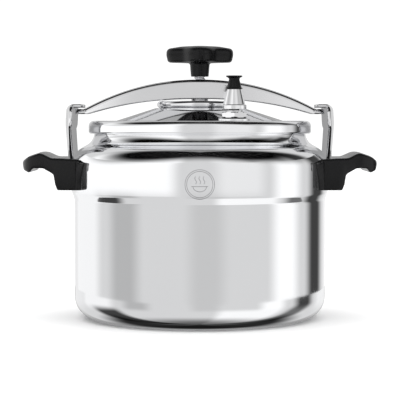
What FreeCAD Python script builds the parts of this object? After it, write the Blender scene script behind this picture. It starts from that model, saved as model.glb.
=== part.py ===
"""A bow-clamp pressure canner: pot, lid held down by a screw bow, weighted steam valve and safety valve.

Millimetres. +Z is up and the origin is the centre of the pot's base, on the hob. +X points to the right-hand
handle, -Y to the side that carries the weighted valve. The bow lies along X, under the two hook brackets.
"""
import FreeCAD, Part
import math
import os

V = FreeCAD.Vector
UP = V(0, 0, 1)
CENTRE = V(0, 0, 0)

# ---- clearances -------------------------------------------------------------------------------------------------
running_fit = 0.05
resting_gap = 0.25
push_in_gap = 0.02

# ---- pot --------------------------------------------------------------------------------------------------------
belly_radius = 132.5
rim_height = 197.5
pot_wall = 2.8
base_thickness = 4.5
base_corner_radius = 23.0
step_inset = 2.5
step_rise = 7.0
belly_band = 31.5
shoulder_inset = 22.9
shoulder_depth = 39.5
shoulder_radius = 22.0
shoulder_slope_deg = 28.0
throat_radius = 14.0
rim_bead_radius = 3.3
rivet_head_height = 1.8

# ---- lid --------------------------------------------------------------------------------------------------------
lid_wall = 2.6
skirt_gap = 0.5
skirt_depth = 13.4
gasket_height = 4.2
gasket_width = 4.8
crown_width = 9.0
crown_corner_radius = 4.0
trough_depth = 4.9
trough_run = 4.6
cone_slope_deg = 17.8
cone_top_radius = 46.0

# ---- pressure dish on the lid -------------------------------------------------------------------------------------
dish_thickness = 2.2
dish_radius = 44.2
dish_bead_radius = 3.6
dish_rivet_radius = 2.4
dish_rivet_circle = 29.0
dish_rivet_count = 3

# ---- hook brackets ------------------------------------------------------------------------------------------------
strap_thickness = 3.6
strap_lean = 3.0
strap_base_half_width = 38.0
strap_waist_half_width = 27.0
strap_top_half_width = 42.0
strap_waist_rise = 8.8
hook_height_above_lid = 16.9
hook_thickness = 4.6
hook_length = 15.1
hook_corner_radius = 7.0
hook_half_width = 24.0
strap_rivet_radius = 3.0
strap_rivet_spread = 16.0
strap_rivet_rows = (8.6, 24.6)

# ---- handles ------------------------------------------------------------------------------------------------------
handle_height = 33.8
handle_above_belly = 7.2
handle_length = 50.7
handle_half_width = 54.0
handle_wing_half_width = 68.0
handle_wing_thickness = 4.2
handle_tip_half_width = 46.0
handle_tip_corner = 22.0
handle_block_depth = 18.1
handle_screw_rise = 16.6
handle_screw_spread = 30.0
handle_screw_radius = 2.5
screw_head_radius = 4.6
screw_head_height = 3.0
screw_sink_depth = 9.0

# ---- bow ----------------------------------------------------------------------------------------------------------
bow_above_dish = 2.4
bow_depth = 19.8
bow_top_power = 2.14
bow_bottom_power = 2.3
bow_half_width = 16.0
bow_wall = 3.0
bow_end_gap = 3.7
tongue_thickness = 5.2
tongue_top_length = 9.3
tongue_bottom_length = 13.1
tongue_length = 17.8
bow_samples = 9
bow_nut_radius = 11.0
bow_nut_height = 7.8
bow_hole_gap = 0.8

# ---- clamp screw, foot and knob -------------------------------------------------------------------------------------
clamp_screw_radius = 5.8
clamp_tip_radius = 4.5
clamp_groove_depth = 0.8
foot_side_gap = 0.6
foot_plate_height = 4.0
foot_hub_radius = 8.6
foot_hub_height = 8.4
foot_floor = 1.6
clip_thickness = 1.2
clip_bite = 1.0
screw_shown = 3.3
knob_stem_height = 14.4
knob_stem_top_radius = 10.3
knob_stem_bottom_radius = 9.2
knob_height = 17.1
knob_crown_drop = 5.0
knob_lobe_radius = 34.7
knob_notch_depth = 9.3
knob_lobes = 4
knob_edge_radius = 2.5
knob_insert_wall = 1.8
knob_insert_length = 22.0

# ---- seats of the two valves on the lid -----------------------------------------------------------------------------
valve_circle_inset = 16.6
seat_top_rise = 7.1
seat_bottom_drop = 1.1
seat_rim = 2.0
seat_gap = 1.6
washer_height = 0.9

# ---- weighted valve ---------------------------------------------------------------------------------------------------
valve_angle_deg = -66.4
valve_hex_radius = 13.9
valve_hex_height = 5.6
valve_collar_radius = 8.6
valve_collar_height = 1.7
valve_thread_radius = 5.0
nozzle_radius = 4.4
nozzle_length = 7.1
nozzle_bore = 1.6
valve_nut_radius = 9.5
valve_nut_height = 4.0
weight_gap = 1.0
skirt_height = 4.4
skirt_radius = 12.2
skirt_wall = 2.6
skirt_hollow = 3.2
weight_cone_height = 15.8
weight_cone_radius = 11.1
weight_top_radius = 7.1
nozzle_room = 1.8
weight_roof = 6.4
needle_radius = 2.0
needle_collar_radius = 5.4
needle_collar_height = 1.4
needle_seat_depth = 2.0
spigot_radius = 3.4
spigot_height = 6.0
cap_height = 13.2
cap_disc_radius = 8.1
cap_disc_height = 1.5
cap_neck_radius = 4.9
cap_lip_radius = 8.3
cap_lip_height = 1.0

# ---- safety valve -------------------------------------------------------------------------------------------------------
safety_angle_deg = 110.7
safety_hex_radius = 8.2
safety_hex_height = 3.4
safety_body_radius = 5.4
safety_body_height = 2.5
safety_thread_radius = 4.4
safety_cavity_radius = 3.4
safety_cavity_depth = 12.2
safety_orifice_radius = 1.6
safety_cap_height = 1.8
safety_plunger_gap = 0.5
safety_plunger_height = 2.0
safety_pin_radius = 1.2
safety_pin_shown = 2.0
safety_nut_radius = 8.0
safety_nut_height = 3.4
safety_spring_wire = 0.45
safety_spring_turns = 5

# ---- canning rack -------------------------------------------------------------------------------------------------------
rack_inset = 26.0
rack_sheet = 1.5
rack_height = 13.5
rack_hole_radius = 5.5
rack_finger_radius = 9.0
rack_ring_spacing = 26.0
rack_rings = 3
rack_holes_per_ring = 6


# ---- places worked out from the sizes above ---------------------------------------------------------------------------------
body_radius = belly_radius - step_inset
neck_radius = belly_radius - shoulder_inset
belly_top = rim_height - shoulder_depth
step_height = belly_top - belly_band

rim_centre_radius = neck_radius - pot_wall / 4
rim_centre_height = rim_height - rim_bead_radius
lid_skirt_radius = rim_centre_radius + rim_bead_radius + skirt_gap + lid_wall
crown_height = rim_height + resting_gap / 2 + gasket_height + lid_wall
trough_radius = lid_skirt_radius - crown_width - trough_run
trough_height = crown_height - trough_depth
lid_top = trough_height + (trough_radius - cone_top_radius) * math.tan(math.radians(cone_slope_deg))
dish_top = lid_top + dish_thickness

handle_top = belly_top + handle_above_belly
handle_bottom = handle_top - handle_height
handle_face = belly_radius + handle_block_depth
handle_screw_height = handle_bottom + handle_screw_rise

strap_inner_radius = belly_radius + push_in_gap
strap_outer_radius = strap_inner_radius + strap_thickness
strap_bow_height = crown_height - lid_wall
hook_top = crown_height + hook_height_above_lid
hook_underside = hook_top - hook_thickness
hook_end = strap_outer_radius - hook_length

tongue_top = hook_underside - resting_gap
tongue_bottom = tongue_top - tongue_thickness
bow_flange_bottom = lid_top + 2 * dish_bead_radius + bow_above_dish
bow_crown = bow_flange_bottom + bow_depth
bow_bottom_rise = bow_flange_bottom - tongue_bottom
bow_top_rise = bow_crown - tongue_top
bow_reach = belly_radius - bow_end_gap
web_underside = bow_crown - bow_wall

foot_bottom = dish_top + resting_gap
foot_radius = bow_half_width - bow_wall - foot_side_gap
foot_plate_top = foot_bottom + foot_plate_height
hub_top = foot_bottom + foot_hub_height
tip_bottom = foot_bottom + foot_floor + resting_gap
clip_bottom = foot_plate_top + clip_bite
clip_radius = clamp_tip_radius + clip_bite
groove_radius = clamp_tip_radius - clamp_groove_depth

stem_bottom = bow_crown + screw_shown
knob_bottom = stem_bottom + knob_stem_height
knob_top = knob_bottom + knob_height
insert_radius = clamp_screw_radius + knob_insert_wall
insert_top = stem_bottom + knob_insert_length

valve_circle = trough_radius - valve_circle_inset
valve_x = valve_circle * math.cos(math.radians(valve_angle_deg))
valve_y = valve_circle * math.sin(math.radians(valve_angle_deg))
safety_x = valve_circle * math.cos(math.radians(safety_angle_deg))
safety_y = valve_circle * math.sin(math.radians(safety_angle_deg))
seat_top = trough_height + seat_top_rise
seat_bottom = trough_height - seat_bottom_drop
hex_bottom = seat_top + washer_height
through = seat_bottom - 20

valve_hex_top = hex_bottom + valve_hex_height
collar_top = valve_hex_top + valve_collar_height
nozzle_top = collar_top + nozzle_length
skirt_bottom = collar_top + weight_gap - resting_gap
skirt_top = skirt_bottom + skirt_height
weight_top = skirt_top + weight_cone_height
weight_cavity_top = weight_top - weight_roof
needle_top = weight_top - nozzle_room
cap_top = weight_top + cap_height

safety_hex_top = hex_bottom + safety_hex_height
safety_body_top = safety_hex_top + safety_body_height
safety_floor = safety_body_top - safety_cavity_depth
safety_pin_top = safety_body_top + safety_pin_shown


# ---- drawing helpers ------------------------------------------------------------------------------------------------------
def turn_side(before, corner, after):
    """+1 where the outline turns left at the corner, -1 where it turns right."""
    cross = (corner[0] - before[0]) * (after[1] - corner[1]) - (corner[1] - before[1]) * (after[0] - corner[0])
    return 1.0 if cross > 0 else -1.0


def offset_outline(points, distance):
    """The outline moved to its left by distance, corner by corner, with each corner radius kept concentric."""
    sides = []
    for first, second in zip(points, points[1:]):
        run = math.hypot(second[0] - first[0], second[1] - first[1])
        along = ((second[0] - first[0]) / run, (second[1] - first[1]) / run)
        normal = (-along[1], along[0])
        start = (first[0] + normal[0] * distance, first[1] + normal[1] * distance)
        sides.append((start, along, run))
    moved = [(*sides[0][0], 0.0)]
    for number in range(1, len(points) - 1):
        start, along, run = sides[number - 1]
        other, onward, _ = sides[number]
        cross = along[0] * onward[1] - along[1] * onward[0]
        reach = ((other[0] - start[0]) * onward[1] - (other[1] - start[1]) * onward[0]) / cross
        side = turn_side(points[number - 1], points[number], points[number + 1])
        radius = max(points[number][2] - side * distance, 0.0)
        moved.append((start[0] + along[0] * reach, start[1] + along[1] * reach, radius))
    start, along, run = sides[-1]
    moved.append((start[0] + along[0] * run, start[1] + along[1] * run, 0.0))
    return moved


def outline_edges(points, place):
    """Line and arc edges through (across, up, corner radius) points; place turns (across, up) into a vector."""
    edges = []
    at = points[0][:2]
    for before, corner, after in zip(points, points[1:], points[2:]):
        radius = corner[2]
        into = (corner[0] - before[0], corner[1] - before[1])
        away = (after[0] - corner[0], after[1] - corner[1])
        into_run = math.hypot(*into)
        away_run = math.hypot(*away)
        into = (into[0] / into_run, into[1] / into_run)
        away = (away[0] / away_run, away[1] / away_run)
        bend = math.acos(max(-1.0, min(1.0, into[0] * away[0] + into[1] * away[1])))
        if radius <= 0 or bend < 1e-6:
            edges.append(Part.makeLine(place(*at), place(*corner[:2])))
            at = corner[:2]
            continue
        cut = radius * math.tan(bend / 2)
        first = (corner[0] - into[0] * cut, corner[1] - into[1] * cut)
        last = (corner[0] + away[0] * cut, corner[1] + away[1] * cut)
        inward = (away[0] - into[0], away[1] - into[1])
        length = math.hypot(*inward)
        reach = radius / math.cos(bend / 2) - radius
        middle = (corner[0] + inward[0] / length * reach, corner[1] + inward[1] / length * reach)
        if math.hypot(first[0] - at[0], first[1] - at[1]) > 1e-6:
            edges.append(Part.makeLine(place(*at), place(*first)))
        edges.append(Part.Arc(place(*first), place(*middle), place(*last)).toShape())
        at = last
    edges.append(Part.makeLine(place(*at), place(*points[-1][:2])))
    return edges


def in_section(radius, height):
    return V(radius, 0, height)


def closed_face(points, place=in_section):
    """A flat face inside the outline, closed by a straight line from its last point to its first."""
    edges = outline_edges(points, place)
    edges.append(Part.makeLine(place(*points[-1][:2]), place(*points[0][:2])))
    return Part.Face(Part.Wire(edges))


def turned(points, x=0.0, y=0.0):
    """A solid of revolution about the vertical through (x, y)."""
    solid = closed_face(points).revolve(CENTRE, UP, 360)
    solid.translate(V(x, y, 0))
    return solid


def turned_sheet(points, wall):
    """A sheet of revolution: the outline, and the same outline moved to its left by the wall."""
    outer = outline_edges(points, in_section)
    inner_points = offset_outline(points, wall)
    inner = outline_edges(inner_points, in_section)
    start = Part.makeLine(in_section(*points[0][:2]), in_section(*inner_points[0][:2]))
    end = Part.makeLine(in_section(*points[-1][:2]), in_section(*inner_points[-1][:2]))
    face = Part.Face(Part.Wire(Part.__sortEdges__(outer + inner + [start, end])))
    return face.revolve(CENTRE, UP, 360)


def barrel(radius, bottom, top, x=0.0, y=0.0):
    return Part.makeCylinder(radius, top - bottom, V(x, y, bottom))


def ring(outer, inner, bottom, top, x=0.0, y=0.0):
    return barrel(outer, bottom, top, x, y).cut(barrel(inner, bottom - 1, top + 1, x, y))


def taper(bottom_radius, top_radius, bottom, top, x=0.0, y=0.0):
    return Part.makeCone(bottom_radius, top_radius, top - bottom, V(x, y, bottom))


def hexagon(corner_radius, bottom, top, x=0.0, y=0.0):
    points = [V(x + corner_radius * math.cos(math.radians(60 * k + 30)),
                y + corner_radius * math.sin(math.radians(60 * k + 30)), bottom) for k in range(6)]
    prism = Part.Face(Part.makePolygon(points + points[:1])).extrude(V(0, 0, top - bottom))
    chamfered = taper(corner_radius + (top - bottom), corner_radius * 0.93, bottom, top, x, y)
    return prism.common(chamfered)


def mirrored_pair(solid):
    """The right-hand solid and its left-hand mirror image."""
    return solid, solid.mirror(CENTRE, V(1, 0, 0))


def export(name, shape):
    solids = shape.Solids
    whole = solids[0] if len(solids) == 1 else Part.makeCompound(solids)
    whole.exportStep(os.path.join("parts", name + ".step"))


# ---- pot ------------------------------------------------------------------------------------------------------------------------
def pot_shell():
    slope = math.radians(shoulder_slope_deg)
    shoulder_end = (belly_radius - shoulder_radius * (1 - math.sin(slope)),
                    belly_top + shoulder_radius * math.cos(slope))
    shoulder_peak = belly_top + shoulder_radius * (math.cos(slope) - (1 - math.sin(slope)) * math.tan(slope))
    neck_run = belly_radius - neck_radius
    throat_height = shoulder_peak + neck_run * math.tan(slope)
    step_low = step_height - step_rise / 2
    step_high = step_height + step_rise / 2
    outside = [
        (0, 0, 0),
        (body_radius, 0, base_corner_radius),
        (body_radius, step_low, step_rise),
        (belly_radius, step_high, step_rise),
        (belly_radius, shoulder_peak, shoulder_radius),
        (neck_radius, throat_height, throat_radius),
        (neck_radius, rim_centre_height, 0),
    ]
    inside = offset_outline(outside, pot_wall)
    inside[0] = (0, base_thickness, 0)
    inside[1] = (body_radius - pot_wall, base_thickness, base_corner_radius - pot_wall)
    section = outline_edges(outside, in_section)
    section += outline_edges(inside, in_section)
    section.append(Part.makeLine(in_section(0, 0), in_section(0, base_thickness)))
    section.append(Part.makeLine(in_section(*outside[-1][:2]), in_section(*inside[-1][:2])))
    shell = Part.Face(Part.Wire(Part.__sortEdges__(section))).revolve(CENTRE, UP, 360)
    bead = Part.makeTorus(rim_centre_radius, rim_bead_radius, V(0, 0, rim_centre_height))
    shell = shell.fuse(bead)
    for hole in rivet_places(1) + rivet_places(-1):
        shell = shell.cut(along_x(strap_rivet_radius, *hole))
    return shell


def along_x(radius, side, y, z, start=None, end=None):
    """A bar along X on one side of the pot, from the start radius to the end radius."""
    first = belly_radius - 12 if start is None else start
    last = strap_outer_radius + 2 if end is None else end
    return Part.makeCylinder(radius, last - first, V(side * first, y, z), V(side, 0, 0))


def chord(radius, y, half_size):
    """How far along X a round wall of this radius stays outside a bar of this half size centred at y."""
    return math.sqrt(radius ** 2 - (abs(y) + half_size) ** 2)


def rivet_places(side):
    rivet_heights = [handle_bottom + rise for rise in strap_rivet_rows]
    return [(side, y, z) for y in (-strap_rivet_spread, strap_rivet_spread) for z in rivet_heights]


def bracket_rivets():
    """Countersunk rivets through the pot wall and the strap, with flat heads inside the pot."""
    rivets = []
    for side, y, z in rivet_places(1) + rivet_places(-1):
        head_radius = strap_rivet_radius * 2
        outer_end = chord(strap_outer_radius, y, strap_rivet_radius)
        head_face = chord(belly_radius - pot_wall, y, head_radius) - push_in_gap
        shank = along_x(strap_rivet_radius - push_in_gap, side, y, z, head_face - 1, outer_end)
        head = along_x(head_radius, side, y, z, head_face - rivet_head_height, head_face)
        rivets.append(shank.fuse(head))
    return Part.makeCompound(rivets)


# ---- hook brackets ------------------------------------------------------------------------------------------------------------
def strap_width_outline():
    """Half of the strap's outline seen along X: half-width against height, as an hourglass."""
    return [
        (strap_base_half_width, handle_bottom, 0),
        (strap_base_half_width, handle_top - 12, 10),
        (strap_waist_half_width, handle_top + strap_waist_rise, 16),
        (strap_top_half_width, strap_bow_height, 14),
        (strap_top_half_width, hook_underside - 3, 8),
        (hook_half_width, hook_top - 1, 6),
        (hook_half_width, hook_top + 1, 0),
    ]


def hook_bracket():
    """A strap on the belly that leans out above the shoulder and turns over into a hook."""
    hook_corner = strap_outer_radius + strap_lean * 0.6
    path = [
        (strap_outer_radius, handle_bottom, 0),
        (strap_outer_radius, belly_top + 4, 60),
        (strap_outer_radius + strap_lean, strap_bow_height, 60),
        (hook_corner, hook_top, hook_corner_radius),
        (hook_end - 14, hook_top, 0),
    ]
    sheet = turned_sheet(path, strap_thickness)
    lip = ring(hook_corner - hook_corner_radius, hook_end - 14, hook_underside, hook_top - strap_thickness / 2)
    right = strap_width_outline()
    left = [(-half_width, height, radius) for half_width, height, radius in reversed(right)]
    outline = closed_face(right + left, lambda across, up: V(hook_end, across, up))
    blank = outline.extrude(V(hook_length + strap_lean + 20, 0, 0))
    bracket = sheet.fuse(lip).common(blank)
    for hole in rivet_places(1):
        bracket = bracket.cut(along_x(strap_rivet_radius, *hole))
    for y in (-handle_screw_spread, handle_screw_spread):
        bracket = bracket.cut(along_x(handle_screw_radius, 1, y, handle_screw_height))
    return bracket


# ---- handles --------------------------------------------------------------------------------------------------------------------
def handle_side_outline():
    """The grip seen along Y: a block against the belly, a raised hump and a hooked tip, open below the fingers."""
    tip = belly_radius + handle_length
    block = handle_face
    low = handle_bottom
    high = handle_top
    return [
        (belly_radius - 6, low, 0),
        (block - 4.0, low, 1.5),
        (block - 1.7, low + 5.6, 4),
        (block, low + 16.0, 5),
        (tip - 22.7, high - 9.0, 5),
        (tip - 12.2, high - 9.0, 4),
        (tip - 7.6, high - 14.2, 2),
        (tip - 1.3, high - 11.0, 3),
        (tip, high - 2.4, 4),
        (tip - 6.7, high + 2.2, 14),
        (tip - 20.0, high + 7.6, 6),
        (tip - 31.2, high + 1.4, 12),
        (belly_radius + 6.5, high + 1.4, 10),
        (belly_radius, high, 3),
        (belly_radius - 6, high, 0),
    ]


def handle_plan():
    """The grip seen from above: full width at the belly, narrower to a rounded tip."""
    tip = belly_radius + handle_length
    right = [
        (belly_radius - 20, handle_half_width, 0),
        (belly_radius + 8, handle_half_width, 8),
        (tip - 22, handle_tip_half_width, 18),
        (tip + 0.2, handle_tip_half_width - 4, handle_tip_corner),
    ]
    left = [(across, -wide, radius) for across, wide, radius in reversed(right)]
    plan = closed_face(right + left, lambda across, wide: V(across, wide, handle_bottom - 5))
    return plan.extrude(V(0, 0, handle_height + 30))


def wing_trim(sign, wing_outer):
    """The wedge that thins a wing from the block's corner down to the belly at its end."""
    low = handle_bottom - 1
    corner = [
        V(wing_outer + 30, sign * (handle_half_width - 6), low),
        V(math.sqrt(wing_outer ** 2 - handle_half_width ** 2), sign * handle_half_width, low),
        V(math.sqrt(belly_radius ** 2 - handle_wing_half_width ** 2), sign * handle_wing_half_width, low),
        V(wing_outer + 30, sign * (handle_wing_half_width + 40), low),
    ]
    return Part.Face(Part.makePolygon(corner + corner[:1])).extrude(V(0, 0, handle_height + 30))


def handle_wings():
    """The thin ends of the handle that wrap round the belly, wider at the top than at the bottom."""
    wing_outer = belly_radius + handle_wing_thickness
    wide = handle_wing_half_width
    side = [
        (wide - 8, handle_bottom, 0),
        (wide - 8, handle_bottom + 12, 8),
        (wide, handle_top - 4.5, 2),
        (handle_half_width, handle_top - 5, 4),
        (handle_half_width - 16, handle_top, 0),
    ]
    mirrored = [(-across, up, radius) for across, up, radius in reversed(side)]
    reach = closed_face(side + mirrored, lambda across, up: V(belly_radius * 0.7, across, up))
    wings = ring(wing_outer, belly_radius - 2, handle_bottom, handle_top)
    wings = wings.common(reach.extrude(V(belly_radius, 0, 0)))
    for sign in (1, -1):
        wings = wings.cut(wing_trim(sign, wing_outer))
    return wings


def handle():
    """A moulded handle, hollowed at the back for the strap and counterbored for its two screws."""
    half = handle_half_width
    side = closed_face(handle_side_outline(), lambda across, up: V(across, -half, up))
    grip = side.extrude(V(0, 2 * half, 0)).common(handle_plan())
    body = grip.fuse(handle_wings())
    body = body.cut(barrel(belly_radius + push_in_gap, handle_bottom - 10, handle_top + 30))
    rise = strap_bow_height - belly_top
    lean = strap_lean * (handle_above_belly + 8) / rise
    strap_room = ring(strap_outer_radius + lean, belly_radius - 5, handle_bottom - 1, handle_top + 8)
    room_half = strap_base_half_width + 0.2
    room_side = Part.makeBox(60, 2 * room_half, handle_height + 20,
                             V(belly_radius - 30, -room_half, handle_bottom - 2))
    body = body.cut(strap_room.common(room_side))
    tip = belly_radius + handle_length
    for y in (-handle_screw_spread, handle_screw_spread):
        body = body.cut(along_x(handle_screw_radius + running_fit, 1, y, handle_screw_height,
                                belly_radius - 12, tip))
        body = body.cut(along_x(screw_head_radius + 0.4, 1, y, handle_screw_height,
                                handle_face - screw_sink_depth, tip - 20))
    return body


def handle_screws():
    """Two pan-head screws a handle, sunk in its outer face and threaded into the strap."""
    screws = []
    seat = handle_face - screw_sink_depth
    for side in (1, -1):
        for y in (-handle_screw_spread, handle_screw_spread):
            inner = math.sqrt(belly_radius ** 2 - y * y) + 0.6
            shank = along_x(handle_screw_radius - push_in_gap, side, y, handle_screw_height, inner, seat + 0.5)
            head = along_x(screw_head_radius, side, y, handle_screw_height, seat + push_in_gap,
                           seat + screw_head_height)
            slot = Part.makeBox(1.4, 1.1, 2 * screw_head_radius + 1,
                                V(side * (seat + screw_head_height) - 0.7, y - 0.55,
                                  handle_screw_height - screw_head_radius - 0.5))
            screws.append(shank.fuse(head).cut(slot))
    return Part.makeCompound(screws)


# ---- lid ------------------------------------------------------------------------------------------------------------------------
def under_lid():
    """The space below the lid's cone, which seats on the cone are cut from or trimmed to."""
    return turned([
        (0, lid_top - 40, 0),
        (trough_radius, lid_top - 40, 0),
        (trough_radius, trough_height, 0),
        (cone_top_radius, lid_top, 12),
        (0, lid_top, 0),
    ])


def lid_shell():
    """The pressed lid, with a spot-faced pad for each valve."""
    top_side = [
        (lid_skirt_radius, crown_height - skirt_depth, 0),
        (lid_skirt_radius, crown_height, crown_corner_radius),
        (lid_skirt_radius - crown_width, crown_height, 3),
        (trough_radius, trough_height, 3),
        (cone_top_radius, lid_top, 12),
        (0, lid_top, 0),
    ]
    lid = turned_sheet(top_side, lid_wall)
    seats = (
        (valve_hex_radius + seat_gap, valve_thread_radius, valve_x, valve_y),
        (safety_hex_radius + seat_gap, safety_thread_radius, safety_x, safety_y),
    )
    for radius, bore, x, y in seats:
        lid = lid.fuse(barrel(radius, seat_bottom, seat_top, x, y))
        rim = barrel(radius + seat_rim, seat_bottom, lid_top, x, y)
        lid = lid.fuse(rim.common(under_lid()))
        lid = lid.cut(barrel(radius, seat_top, lid_top + 5, x, y))
        lid = lid.cut(barrel(bore + push_in_gap, through, lid_top, x, y))
    for x, y in dish_rivet_places():
        lid = lid.cut(barrel(dish_rivet_radius, lid_top - lid_wall - 1, dish_top + 1, x, y))
    return lid


def gasket():
    """A soft ring in the lid's crown that the pot's rim bead bears on."""
    outer = lid_skirt_radius - lid_wall - 0.1
    bottom = rim_height + resting_gap / 2
    section = [
        (outer - gasket_width, bottom, 0),
        (outer, bottom, 1.2),
        (outer, bottom + gasket_height, 1.6),
        (outer - gasket_width, bottom + gasket_height, 0),
    ]
    return turned(section)


def dish_rivet_places():
    places = []
    for number in range(dish_rivet_count):
        angle = math.radians(90 + 360 * number / dish_rivet_count)
        places.append((dish_rivet_circle * math.cos(angle), dish_rivet_circle * math.sin(angle)))
    return places


def centre_dish():
    """A round plate riveted on the lid's flat, its edge rolled up into a bead."""
    plate = barrel(dish_radius - dish_bead_radius, lid_top, dish_top)
    bead_height = lid_top + dish_bead_radius
    bead = Part.makeTorus(dish_radius - dish_bead_radius, dish_bead_radius, V(0, 0, bead_height))
    dish = plate.fuse(bead).cut(under_lid())
    for x, y in dish_rivet_places():
        dish = dish.cut(barrel(dish_rivet_radius, lid_top - 1, dish_top + 1, x, y))
    return dish


def dish_rivets():
    rivets = []
    for x, y in dish_rivet_places():
        shank = barrel(dish_rivet_radius - push_in_gap, lid_top - lid_wall, dish_top, x, y)
        upper = Part.makeSphere(dish_rivet_radius * 2, V(x, y, dish_top - dish_rivet_radius * 1.35))
        upper = upper.common(barrel(dish_rivet_radius * 2, dish_top, dish_top + 5, x, y))
        lower = barrel(dish_rivet_radius * 1.7, lid_top - lid_wall - 1.4, lid_top - lid_wall, x, y)
        rivets.append(shank.fuse(upper).fuse(lower))
    return Part.makeCompound(rivets)


# ---- weighted valve ---------------------------------------------------------------------------------------------------------------
def valve_washer(outer, thread):
    return ring(outer - 2, thread + 0.3, seat_top, hex_bottom)


def at_valve(solid):
    solid.translate(V(valve_x, valve_y, 0))
    return solid


def at_safety(solid):
    solid.translate(V(safety_x, safety_y, 0))
    return solid


def under_nut(corner_radius, height, thread):
    """The nut that draws a valve's stem down from under the lid."""
    top = seat_bottom - push_in_gap
    nut = hexagon(corner_radius, top - height, top)
    return nut.cut(barrel(thread + push_in_gap, through, seat_top))


def vent_washer():
    return at_valve(valve_washer(valve_hex_radius, valve_thread_radius))


def vent_stem():
    """The steam outlet: threaded stem through the lid, hexagon, collar and a nozzle with a conical seat."""
    stem = barrel(valve_thread_radius, seat_bottom - valve_nut_height - 1.5, hex_bottom)
    stem = stem.fuse(hexagon(valve_hex_radius, hex_bottom, valve_hex_top))
    stem = stem.fuse(barrel(valve_collar_radius, valve_hex_top, collar_top))
    stem = stem.fuse(taper(nozzle_radius + 0.8, nozzle_radius, collar_top, nozzle_top))
    stem = stem.cut(barrel(nozzle_bore, through, nozzle_top + 1))
    seat_depth = needle_seat_depth + 1.0
    seat = taper(nozzle_bore, nozzle_bore + seat_depth * 0.6, nozzle_top - seat_depth, nozzle_top)
    return at_valve(stem.cut(seat))


def vent_nut():
    return at_valve(under_nut(valve_nut_radius, valve_nut_height, valve_thread_radius))


def valve_needle():
    """The needle that closes the nozzle, with the collar that carries the weight."""
    collar_bottom = weight_cavity_top - resting_gap - needle_collar_height
    shank = barrel(needle_radius, nozzle_top + 1, needle_top)
    tip = taper(nozzle_bore - 0.5, needle_radius, nozzle_top - needle_seat_depth, nozzle_top + 1)
    collar = barrel(needle_collar_radius, collar_bottom, collar_bottom + needle_collar_height)
    return at_valve(shank.fuse(tip).fuse(collar))


def valve_weight():
    """The polished weight: a cylindrical skirt, a tall cone and a spigot that holds the cap."""
    weight = turned([
        (0, skirt_bottom, 0),
        (skirt_radius, skirt_bottom, 0.5),
        (skirt_radius, skirt_top, 0.8),
        (weight_cone_radius, skirt_top, 0),
        (weight_top_radius, weight_top, 0.4),
        (0, weight_top, 0),
    ])
    weight = weight.fuse(barrel(spigot_radius, weight_top - 1, weight_top + spigot_height))
    weight = weight.cut(barrel(skirt_radius - skirt_wall, skirt_bottom - 1, skirt_bottom + skirt_hollow))
    weight = weight.cut(barrel(nozzle_radius + nozzle_room, skirt_bottom, weight_cavity_top))
    weight = weight.cut(barrel(needle_radius + running_fit, skirt_bottom, needle_top + resting_gap))
    return at_valve(weight)


def valve_cap():
    """The black cap pushed on the spigot: a lip, a waisted body and a flat finger disc."""
    cap = turned([
        (0, weight_top, 0),
        (cap_lip_radius, weight_top, 0.3),
        (cap_lip_radius, weight_top + cap_lip_height, 0.3),
        (cap_lip_radius - 0.9, weight_top + cap_lip_height, 0),
        (cap_neck_radius, cap_top - cap_disc_height - 0.8, 1.5),
        (cap_disc_radius, cap_top - cap_disc_height, 0.4),
        (cap_disc_radius, cap_top, 0.5),
        (0, cap_top, 0),
    ])
    return at_valve(cap.cut(barrel(spigot_radius + push_in_gap, weight_top - 1,
                                   weight_top + spigot_height + resting_gap)))


# ---- safety valve --------------------------------------------------------------------------------------------------------------------
def safety_washer():
    return at_safety(valve_washer(safety_hex_radius + 1.2, safety_thread_radius))


def safety_valve_body():
    """The relief valve's body: threaded stem, hexagon and barrel, bored for the spring and its plunger."""
    stem_bottom = seat_bottom - safety_nut_height - 1.2
    body = barrel(safety_thread_radius, stem_bottom, hex_bottom)
    body = body.fuse(hexagon(safety_hex_radius, hex_bottom, safety_hex_top))
    body = body.fuse(barrel(safety_body_radius, safety_hex_top, safety_body_top))
    body = body.cut(barrel(safety_orifice_radius, stem_bottom - 1, safety_floor + 1))
    return at_safety(body.cut(barrel(safety_cavity_radius, safety_floor, safety_body_top + 1)))


def safety_nut():
    return at_safety(under_nut(safety_nut_radius, safety_nut_height, safety_thread_radius))


def safety_cap():
    return at_safety(ring(safety_cavity_radius - push_in_gap, safety_pin_radius + running_fit,
                          safety_body_top - safety_cap_height, safety_body_top))


def safety_pin():
    """The plunger on the orifice, with a pin that shows above the cap when it lifts."""
    bottom = safety_floor + push_in_gap
    plunger = barrel(safety_cavity_radius - safety_plunger_gap, bottom, bottom + safety_plunger_height)
    return at_safety(plunger.fuse(barrel(safety_pin_radius, bottom, safety_pin_top)))


def safety_spring():
    """A helix between the plunger and the cap."""
    bottom = safety_floor + safety_plunger_height + safety_spring_wire + 0.1
    top = safety_body_top - safety_cap_height - safety_spring_wire - 0.1
    mean = (safety_cavity_radius + safety_pin_radius) / 2
    pitch = (top - bottom) / safety_spring_turns
    helix = Part.makeHelix(pitch, top - bottom, mean)
    start = helix.Edges[0].valueAt(helix.Edges[0].FirstParameter)
    section = Part.Wire(Part.makeCircle(safety_spring_wire, start, V(0, 1, pitch / (2 * math.pi * mean))))
    spring = Part.Wire(helix).makePipeShell([section], True, True)
    spring.translate(V(0, 0, bottom))
    return at_safety(spring)


# ---- bow ------------------------------------------------------------------------------------------------------------------------------
def arch(crown, rise, reach, power, limit=None):
    """Points (x, height) of an arch that falls by its rise at its reach, as a power of x, drawn out to the limit."""
    last = reach if limit is None else limit
    half = []
    for number in range(bow_samples):
        x = last * number / (bow_samples - 1)
        half.append((x, crown - rise * (x / reach) ** power))
    return [(-x, z) for x, z in reversed(half[1:])] + half


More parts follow.
